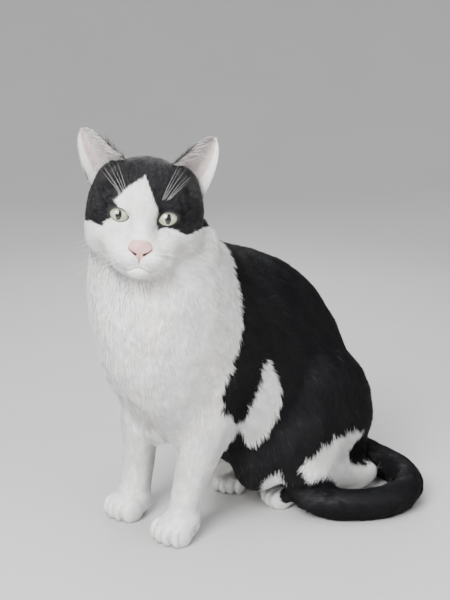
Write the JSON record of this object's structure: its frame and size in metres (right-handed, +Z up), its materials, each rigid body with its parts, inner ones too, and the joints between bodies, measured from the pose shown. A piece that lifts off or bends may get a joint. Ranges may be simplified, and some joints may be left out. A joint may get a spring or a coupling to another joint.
{
  "type": "domestic cat",
  "caption": "Life-size sitting short-haired black and white cat, head turned to its left, tail round its side.",
  "frame": {"origin": "on the floor under the middle of the cat's bounding box", "axes": "+X to the cat's left, +Y towards its tail, +Z up; the hips face -Y, the chest is turned a little and the head much further to the cat's left"},
  "size_m": [0.2364, 0.342, 0.3752],
  "materials": {
    "coat_white": "soft white fur",
    "coat_black": "short black fur with a slight sheen",
    "eye": "wet and glossy"
  },
  "bodies": {
    "root": {"head": "coat_white", "neck": "coat_white", "foreleg_left": "coat_white", "foreleg_right": "coat_white", "trunk": "coat_black", "hindleg_left": "coat_black", "hindleg_right": "coat_black", "tail_base": "coat_black", "tail_middle": "coat_black", "tail_tip": "coat_black", "ear_left": "coat_black", "ear_right": "coat_black", "eye_left": "eye", "eye_right": "eye"}
  },
  "joints": []
}
